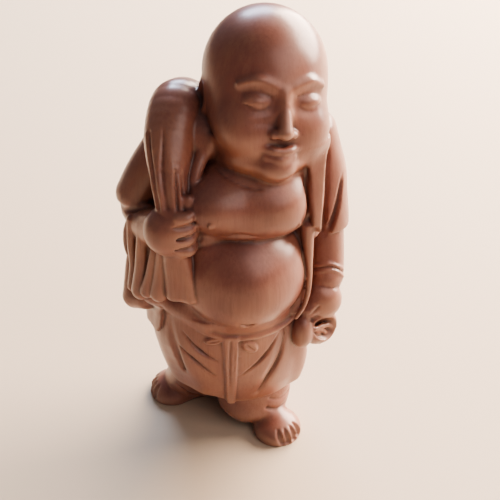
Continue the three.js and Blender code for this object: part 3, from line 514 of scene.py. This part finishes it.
# The lips, closed, with a fine cut between them
UPPER_LIP = [
    (-5.4, -17.6, -13.7), (-2.6, -19.2, -14.3), (0, -19.6, -14.6), (2.6, -19.2, -14.3), (5.4, -17.6, -13.7),
]
LOWER_LIP = [(-4, -17.9, -16.5), (0, -19.3, -17.1), (4, -17.9, -16.5)]
PARTING = [(-5.8, -18.6, -14.2), (-3, -20.3, -15.3), (0, -21, -15.8), (3, -20.3, -15.3), (5.8, -18.6, -14.2)]
add(limb(on_head(*UPPER_LIP), (0.9, 1.3, 1.2, 1.3, 0.9)), 1)
add(limb(on_head(*LOWER_LIP), (1, 1.5, 1)), 1)
cut(limb(on_head(*PARTING), (0.15, 0.4, 0.4, 0.4, 0.15)), 0.3)

# The left arm
# It hangs down in a wide sleeve over a narrow one. Wedge-shaped cuts run down the wide sleeve to its hem,
# and two thin bands go round the narrow one above the wrist.

# The upper arm, the wide sleeve and the narrow one
add(limb([(25.5, 1, 114), (28.4, -2, 101), (28.4, -4, 94)], (8.8, 8.8, 8.4)), 2)
OVER_SLEEVE = [
    (84, 29.4, -7.4, 8.2, 8.6, 8),
    (90, 29, -5.6, 8.6, 8.8, 8.6),
    (100, 28.4, -2.6, 8.7, 8.6, 8.8),
    (106, 27.8, -1, 8.4, 8, 8),
]
add(loft(OVER_SLEEVE, 2, 0.6), 1)
add(limb([(29.4, -7.2, 86), (29.3, -11.6, 73), (28.4, -15.2, 66.5)], (6.4, 6.2, 6.2)), 0.3)

# The cuts in the wide sleeve
INNER_CUT = [(29, -7.9, 112), (28.2, -10.4, 105.5), (27.6, -12, 99), (26.8, -13.6, 92.5), (26.4, -14.4, 85)]
OUTER_CUT = [(34.6, -8.6, 103.6), (33.6, -10, 99.6), (31.6, -13, 92.5), (29.2, -15, 87), (27, -15.6, 83)]
cut(limb(INNER_CUT, (0.6, 1.1, 1.3, 1.4, 1.5)), 0.6)
cut(limb(OUTER_CUT, (0.3, 0.8, 1.1, 1.2, 1.1), deep=1.3), 0.4)

# The raised bands, the groove between them and the edge of the narrow sleeve
BAND_ABOVE = [
    (23.8, -16.1, 71.9), (26.2, -17.5, 73.2), (28.7, -18.3, 73.6), (31.6, -18.3, 72.2), (33.9, -17, 69.7),
]
BAND_BELOW = [
    (23.6, -17.2, 70.1), (25.9, -18.7, 71.5), (28.9, -19.4, 71.8), (31.9, -19, 70.2), (33.7, -18.1, 67.5),
]
WRIST = [(22.4, -21, 66), (25.4, -21.5, 65.8), (29, -21.5, 65.2), (32.4, -19.8, 64.8), (34, -17, 64.8)]
for band in (BAND_ABOVE, BAND_BELOW):
    score(band, 0.8, -0.8, deep=2)
score((np.array(BAND_ABOVE) + BAND_BELOW) / 2, 0.6, 0.5, deep=2)
score(WRIST, 0.9, 0.9, deep=2)

# The left hand
# A hand that holds a bunch of the robe's cloth. The bunch ends in a rounded lobe and a hollow with three
# ridges.

# The bunch, its hollow, the ridges and the lobe
add(egg((24.8, -19.4, 49), (7.2, 6.2, 8.2)), 1.5)
cut(egg((27.8, -24.4, 49.6), (6, 3.6, 4.6), turned(0, 30, 0)), 0.3)
RIDGES = [
    ((27.6, -21.6, 49.6), (31.2, -19.8, 47)),
    ((26, -22, 48), (28.8, -20.8, 43.6)),
    ((24.2, -22.6, 47.6), (25.6, -21.6, 42.4)),
]
for middle, end in RIDGES:
    add(limb([(22.6, -24.4, 51), middle, end], (0.7, 1, 1.1)), 0.5)
add(egg((18.7, -21.8, 49.4), (4.2, 5.4, 7.2)), 0.3)

# The back of the hand, the thumb and the crease between them
add(egg((27, -19, 59.2), (6.4, 5.6, 7.4)), 0.4)
add(limb([(24.8, -18.8, 62.5), (21, -21.2, 58)], (4.2, 3.4)), 1.5)
score([(23.8, -24.2, 60.2), (21.4, -25, 57.9), (19.4, -25.8, 57.2), (17.6, -26, 58)], 0.7, 0.7)

# The right arm and its hanging sleeve
# The arm is raised to the chest, and its wide sleeve hangs in deep folds to a lobe at the hem.

# The upper arm, the forearm and the crease at the elbow
add(limb([(-19.4, 4, 113.5), (-27, 4.5, 104), (-32.2, 4.5, 96)], (9, 8, 7.2)), 3)
add(limb([(-31.8, 3.5, 90.6), (-29.6, -7, 90.4), (-26.8, -13.4, 94)], (6.3, 6.2, 6.2)), 1)
cut(limb([(-39.8, 4, 93), (-38, -1, 93.2), (-33, -4.6, 95.4), (-28, -5.4, 97)], (1.6, 1.6, 1.1, 0.5)), 0.8)

# The hanging cloth, its rolls and the hollow behind the first of them
add(cloth((-29.2, -3.2, 73.4), (7.6, 4.2, 18.6), turned(2, 3, -62), taper=1.4, corner=3), 2)
add(limb([(-28, -7, 88), (-29.5, -9, 74), (-29.5, -9, 65)], (5.6, 5.4, 5)), 2)
SLEEVE_ROLLS = [
    ([(-34.5, -1, 84), (-36, -1, 74), (-36.4, -1.5, 66), (-36.2, -2.2, 58.5)], (2, 2.2, 3.2, 4.6)),
    ([(-36.2, -2.2, 58.5), (-33, -6, 60)], (4.6, 4.4)),
    ([(-35.6, 4, 86), (-37, 4, 81), (-37.2, 4, 75), (-35.8, 3, 69)], (1.3, 1.3, 1.3, 1.3)),
    ([(-35.4, -5, 92), (-36.2, -6, 83), (-36.2, -6.5, 75), (-37.2, -6.5, 66)], (1.8, 1.6, 1.5, 1.9)),
    ([(-32.2, -10.5, 93), (-33.2, -10.6, 84), (-33.8, -10.8, 76), (-34.6, -11, 67.5)], (2.2, 2.2, 2.6, 3.5)),
]
for points, radii in SLEEVE_ROLLS:
    add(limb(points, radii), 0.5)
cut(egg((-37.2, 0, 79.3), (1.7, 2.4, 4.8), turned(0, 0, 20)), 0.5)

# The sack
# A full bag that hangs down the back, with its neck gathered and pulled forward over the right shoulder. The
# neck runs down to the fist in long flutes, and its cloth flares out below in broad ones.

# The bag and its gathers
SACK_AT, SACK_SIZE = (-6, 20, 94), (21, 14, 27)
add(egg(SACK_AT, SACK_SIZE), 2)
for heading in (128, 150, 172, 194, 216, 240):
    spread = 180 + 1.35 * (heading - 180)
    places = ((heading, 66), (heading, 40), (spread, 5))
    cut(limb([on_egg(SACK_AT, SACK_SIZE, *place) for place in places], (1, 1.8, 0.3)), 1.5)

# The neck, with its grooves and the thin ridges between them
NECK = [(-11, 15, 117), (-16.5, 5, 124.8), (-21, -4.6, 120), (-23.2, -12.8, 112), (-23.3, -17.5, 103)]
add(limb(NECK, (10, 9.9, 8.6, 6, 5.2)), 1)
add(egg((-10, -2, 119), (10, 10, 9)), 1)
score([(-27.9, -7, 124.3), (-28.2, -15.1, 114.4), (-27.7, -19.8, 104.6)], 1, 0.9, deep=1)
score([(-28.9, -6, 123.4), (-29, -14.2, 113.6), (-28.4, -19.2, 103.8)], 0.8, -0.4, deep=1)
score([(-23.8, -9.9, 126.2), (-25.4, -17.2, 115.5), (-25.2, -21.7, 105.3)], (0.8, 1.8, 1.9), 1.3)
score([(-22.4, -14.4, 120), (-22.6, -18, 114.4), (-23.1, -22.6, 104.6)], (0.4, 0.9, 0.9), -0.4)
score([(-21.6, -15.8, 118.4), (-22.2, -19.2, 112), (-22.4, -22.4, 104)], (0.3, 1, 1.1), 1)
score([(-20.9, -18.2, 114), (-21.1, -20.8, 109), (-21.2, -22.6, 104)], (0.4, 0.8, 0.9), -0.5)
score([(-19.8, -17, 113.6), (-20.1, -20, 108), (-20.2, -22.2, 104)], (0.3, 0.8, 0.9), 0.9)

# The flared end below the fist, in two rolls and a broad flat fold
add(limb([(-29, -8.6, 65), (-25, -13, 64.6), (-19, -18, 64.6)], (4.6, 4, 3.4)), 3)
add(limb([(-29.6, -15.4, 86), (-31.4, -15.2, 76), (-32.8, -14.6, 69.5)], (1.5, 2, 2.6)), 0.5)
add(limb([(-27.2, -17.8, 87), (-28.2, -17.6, 77), (-29.2, -17.2, 70)], (2, 2.6, 3.2)), 0.5)
add(cloth((-22.6, -21.2, 80.4), (4, 3.4, 11.2), turned(-2, -7, -36), taper=1.55, corner=3), 0.5)
score([(-22.4, -24, 86), (-22.6, -24.6, 78), (-22.8, -24.6, 71)], 3, 0.4)

# The right hand
# A round fist on the neck of the sack, with four short fingers one above the other and the thumb on top.

add(egg((-24.8, -18.4, 95.3), (8.2, 7.6, 8.6)), 0.6)
add(egg((-22.2, -20.3, 96.2), (6, 6, 8.8)), 1.5)
add(limb([(-19.6, -13.6, 94), (-18.2, -16, 98), (-17.4, -17.8, 102.4)], (3.4, 3.2, 2.8)), 1.5)
for z in (102.4, 98.3, 94.1, 90.2):
    add(limb([(-22, -23.4, z), (-19.4, -23.6, z + 0.3), (-18.2, -21.4, z + 0.6)], (2.2, 2.1, 1.9)), 0.6)
for z in (100.4, 96.3, 92.2):
    gap = [(-24.8, -25, z), (-22.2, -25.8, z + 0.1), (-19, -25.6, z + 0.3), (-17.6, -24, z + 0.4)]
    cut(limb(gap, (0.2, 0.9, 1, 0.6)), 0.3)
add(limb([(-20.8, -19.6, 103), (-20, -19.8, 106.6)], (2.4, 1.8)), 1)
add(limb([(-19, -20.8, 103.4), (-18.4, -20.6, 107.4)], (1.9, 1.4)), 0.5)

# The finished surface
# The carving's skin is lifted off the block, sawn flat under the feet and set down where the solid stands.

MIDDLE = (-1.3, -0.54)
TRIANGLES = 190000


def skin_of(values):
    """A point in each cell that the surface crosses, and a face round each crossed edge of the grid."""
    inside = values < 0
    cells = np.array(values.shape)
    owners, places, rings = [], [], []
    for axis in range(3):
        near = [slice(None)] * 3
        far = [slice(None)] * 3
        near[axis], far[axis] = slice(0, -1), slice(1, None)
        start = np.argwhere(inside[tuple(near)] != inside[tuple(far)])
        end = start.copy()
        end[:, axis] += 1
        from_value, to_value = values[tuple(start.T)], values[tuple(end.T)]
        place = start.astype(float)
        place[:, axis] += from_value / (from_value - to_value)
        corners = []
        for back, under in ((0, 0), (1, 0), (1, 1), (0, 1)):
            cell = start.copy()
            cell[:, (axis + 1) % 3] -= back
            cell[:, (axis + 2) % 3] -= under
            corners.append(np.ravel_multi_index(tuple(cell.T), tuple(cells)))
            owners.append(corners[-1])
            places.append(place)
        ring = np.stack(corners, axis=1)
        rings.append(np.where((from_value < 0)[:, None], ring, ring[:, ::-1]))
    numbers, index = np.unique(np.concatenate(owners), return_inverse=True)
    places = np.concatenate(places)
    count = np.bincount(index)
    points = np.stack([np.bincount(index, places[:, axis]) / count for axis in range(3)], axis=1)
    faces = np.searchsorted(numbers, np.concatenate(rings))
    return points * CELL + [low for low, _ in BLOCK], faces


# The block is closed below the floor, so that the skin is closed before it is sawn flat
wood[:, :, 0] = FAR
points, faces = skin_of(wood)
mesh = bpy.data.meshes.new("carved_figure")
mesh.from_pydata(points.tolist(), [], faces.tolist())
figure = bpy.data.objects.new("carved_figure", mesh)
bpy.context.scene.collection.objects.link(figure)

bpy.ops.object.select_all(action="DESELECT")
figure.select_set(True)
bpy.context.view_layer.objects.active = figure
thinning = figure.modifiers.new("thinning", "DECIMATE")
thinning.ratio = min(1, TRIANGLES / (2 * len(faces)))
bpy.ops.object.modifier_apply(modifier=thinning.name)

bpy.ops.object.mode_set(mode="EDIT")
bpy.ops.mesh.select_all(action="SELECT")
bpy.ops.mesh.bisect(plane_co=(0, 0, 0), plane_no=(0, 0, 1), use_fill=True, clear_inner=True)
bpy.ops.object.mode_set(mode="OBJECT")
for polygon in mesh.polygons:
    polygon.use_smooth = polygon.normal.z > -0.999 or polygon.center.z > 0.01


def blurred(values, reach):
    """The mean of the values within a reach in millimetres along each axis."""
    cells = max(1, round(reach / CELL))
    for axis in range(3):
        pad = [(0, 0)] * 3
        pad[axis] = (cells + 1, cells)
        total = np.cumsum(np.pad(values, pad, mode="edge"), axis=axis, dtype=np.float64)
        upper = np.take(total, range(2 * cells + 1, total.shape[axis]), axis=axis)
        lower = np.take(total, range(0, total.shape[axis] - 2 * cells - 1), axis=axis)
        values = ((upper - lower) / (2 * cells + 1)).astype(np.float32)
    return values


def read_at(values, places):
    """Values of the grid at places in millimetres."""
    spot = (places - [low for low, _ in BLOCK]) / CELL
    spot = np.clip(spot, 0, np.array(values.shape) - 1.001)
    base = np.floor(spot).astype(int)
    share = spot - base
    found = 0
    for corner in np.ndindex(2, 2, 2):
        weight = np.prod(np.where(corner, share, 1 - share), axis=1)
        found = found + weight * values[tuple((base + corner).T)]
    return found


# How hollow each place is: above 0 in a crease, where wax stays and shade is painted, and below 0 on an edge
# that hands rub
places = np.empty(len(mesh.vertices) * 3, np.float32)
mesh.vertices.foreach_get("co", places)
places = places.reshape(-1, 3)
filled = np.clip(0.5 - wood / CELL, 0, 1)
for name, reach in (("hollow_near", 0.9), ("hollow_wide", 3.2)):
    shade = read_at(blurred(blurred(filled, reach), reach), places) - 0.5
    mesh.attributes.new(name, "FLOAT", "POINT").data.foreach_set("value", shade.astype(np.float32))

places = (places - (*MIDDLE, 0)) / 1000
mesh.vertices.foreach_set("co", places.astype(np.float32).ravel())
mesh.update()

# The wood
# A dense, reddish-brown hardwood such as pearwood, carved, sanded, stained and waxed. It gives a soft sheen,
# fine upright grain with short dark pores, painted shade with the wax in the creases and a paler tone on the
# rubbed edges.


def colour_of(code):
    """The linear colour of an sRGB hex code."""
    parts = [int(code[i:i + 2], 16) / 255 for i in (0, 2, 4)]
    return (*(p / 12.92 if p <= 0.04045 else ((p + 0.055) / 1.055) ** 2.4 for p in parts), 1)


def node(tree, kind, settings=(), inputs=(), links=()):
    """A node with its settings, its input values and its links from other nodes' outputs."""
    made = tree.nodes.new(kind)
    for name, value in dict(settings).items():
        setattr(made, name, value)
    for name, value in dict(inputs).items():
        made.inputs[name].default_value = value
    for name, source in dict(links).items():
        tree.links.new(source, made.inputs[name])
    return made


waxed_wood = bpy.data.materials.new("waxed_hardwood")
waxed_wood.use_nodes = True
tree = waxed_wood.node_tree
shader = tree.nodes["Principled BSDF"]
shader.inputs["Metallic"].default_value = 0
shader.inputs["IOR"].default_value = 1.5
shader.inputs["Coat Weight"].default_value = 0.5
shader.inputs["Coat Roughness"].default_value = 0.25
shader.inputs["Coat IOR"].default_value = 1.45

place = node(tree, "ShaderNodeTexCoord").outputs["Object"]


def grain_noise(width, length, detail, rough=0.5):
    """Noise whose spots are so many millimetres wide and so long up the block."""
    scale = (1000 / width, 1000 / width, 1000 / length)
    stretched = node(tree, "ShaderNodeMapping", inputs={"Scale": scale}, links={"Vector": place})
    return node(
        tree, "ShaderNodeTexNoise",
        inputs={"Scale": 1.0, "Detail": detail, "Roughness": rough},
        links={"Vector": stretched.outputs["Vector"]},
    ).outputs["Fac"]


def ramp(source, stops):
    """A ramp from one to another of several greys or colours at the given places."""
    made = node(tree, "ShaderNodeValToRGB", links={"Fac": source})
    elements = made.color_ramp.elements
    while len(elements) < len(stops):
        elements.new(0.5)
    for element, (at, value) in zip(elements, stops):
        element.position = at
        element.color = colour_of(value) if isinstance(value, str) else (value, value, value, 1)
    return made.outputs["Color"]


def mixed(share, first, second):
    """A mix of two colours, each given, as the share is, by a node's output, a number or a hex code."""
    made = node(tree, "ShaderNodeMix", {"data_type": "RGBA"})
    for socket, given in ((0, share), (6, first), (7, second)):
        if isinstance(given, str):
            made.inputs[socket].default_value = colour_of(given)
        elif isinstance(given, float):
            made.inputs[socket].default_value = given
        else:
            tree.links.new(given, made.inputs[socket])
    return made.outputs[2]


tone = ramp(grain_noise(16, 34, 2), ((0.3, "784A42"), (0.5, "8A594D"), (0.7, "9E6D5A")))
streaks = ramp(grain_noise(1.1, 22, 3, 0.6), ((0.38, "664036"), (0.6, "A67966")))
streaked = mixed(ramp(grain_noise(7, 20, 1), ((0.3, 0.04), (0.7, 0.15))), tone, streaks)
pores = ramp(grain_noise(0.3, 4.5, 1), ((0.27, 0.22), (0.35, 0.0)))
pored = mixed(pores, streaked, "552F28")

near = node(tree, "ShaderNodeAttribute", {"attribute_name": "hollow_near"}).outputs["Fac"]
wide = node(tree, "ShaderNodeAttribute", {"attribute_name": "hollow_wide"}).outputs["Fac"]
# Painted shade, along with the wax that stays there, darkens the creases
creases = ramp(near, ((0.02, 0.0), (0.18, 0.7)))
darkened = mixed(creases, pored, "381D1A")
edges = node(tree, "ShaderNodeMath", {"operation": "MULTIPLY"}, {1: -1.0}, {0: wide}).outputs[0]
rubbed = mixed(ramp(edges, ((0.02, 0.0), (0.25, 0.4))), darkened, "B8907A")
tree.links.new(rubbed, shader.inputs["Base Color"])

polish = ramp(grain_noise(6, 11, 2), ((0.3, 0.34), (0.7, 0.44)))
tree.links.new(polish, shader.inputs["Roughness"])

relief = mixed(0.75, grain_noise(0.6, 8, 2), grain_noise(3.5, 6, 2))
bump = node(
    tree, "ShaderNodeBump",
    inputs={"Strength": 0.2, "Distance": 0.0002},
    links={"Height": relief},
)
tree.links.new(bump.outputs["Normal"], shader.inputs["Normal"])
mesh.materials.append(waxed_wood)

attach(figure, "root")
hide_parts("buddha_figure")

# The setting
# A plain pale floor, broad daylight from behind the figure's left shoulder, a smaller light at its back and
# a weak fill from the front.

bpy.ops.mesh.primitive_plane_add(size=6, location=(0, 0, 0))
floor = bpy.context.object
floor.name = "floor"
pale = bpy.data.materials.new("pale_paper")
pale.use_nodes = True
paper = pale.node_tree.nodes["Principled BSDF"]
paper.inputs["Base Color"].default_value = colour_of("CDBBA6")
paper.inputs["Roughness"].default_value = 0.7
floor.data.materials.append(pale)

world = bpy.data.worlds.new("daylight")
bpy.context.scene.world = world
world.use_nodes = True
sky = world.node_tree.nodes["Background"]
sky.inputs["Color"].default_value = colour_of("E6E8F0")
sky.inputs["Strength"].default_value = 0.16


FIGURE_MIDDLE = (0, 0, 0.08)


def soft_light(name, place, size, watts, colour):
    """A soft lamp that is turned to the middle of the figure."""
    light = bpy.data.lights.new(name, "AREA")
    light.shape = "RECTANGLE"
    light.size, light.size_y = size
    light.energy = watts
    light.color = colour_of(colour)[:3]
    lamp = bpy.data.objects.new(name, light)
    bpy.context.scene.collection.objects.link(lamp)
    lamp.location = place
    way = np.array(FIGURE_MIDDLE) - np.array(place)
    lamp.rotation_euler = (
        math.acos(-way[2] / np.linalg.norm(way)), 0, math.atan2(way[0], -way[1]) + math.pi,
    )


soft_light("window", (0.88, 0.5, 0.58), (1.4, 0.8), 90, "FFEBD8")
soft_light("far_window", (0.08, 0.9, 0.75), (0.5, 0.35), 11, "D6E6FF")
soft_light("room", (0.45, -0.65, 0.7), (0.8, 0.8), 3.6, "FFF2EC")

# A little more contrast gives the waxed wood its depth
bpy.context.scene.view_settings.look = "AgX - Medium High Contrast"

# The camera looks down at the figure from a little to its right, with its focal length in pixels
PICTURE_WIDTH, FOCAL_LENGTH = 500, 910
TARGET = np.array((0.0063, 0.00054, 0.070))
camera = bpy.data.objects.new("camera", bpy.data.cameras.new("camera"))
bpy.context.scene.collection.objects.link(camera)
bpy.context.scene.camera = camera
azimuth, elevation, distance = math.radians(-12), math.radians(36), 0.320
back = np.array((
    math.cos(elevation) * math.sin(azimuth), -math.cos(elevation) * math.cos(azimuth), math.sin(elevation),
))
camera.location = TARGET + distance * back
camera.rotation_euler = (math.pi / 2 - elevation, 0, azimuth)
camera.data.sensor_width = 36
camera.data.lens = camera.data.sensor_width * FOCAL_LENGTH / PICTURE_WIDTH
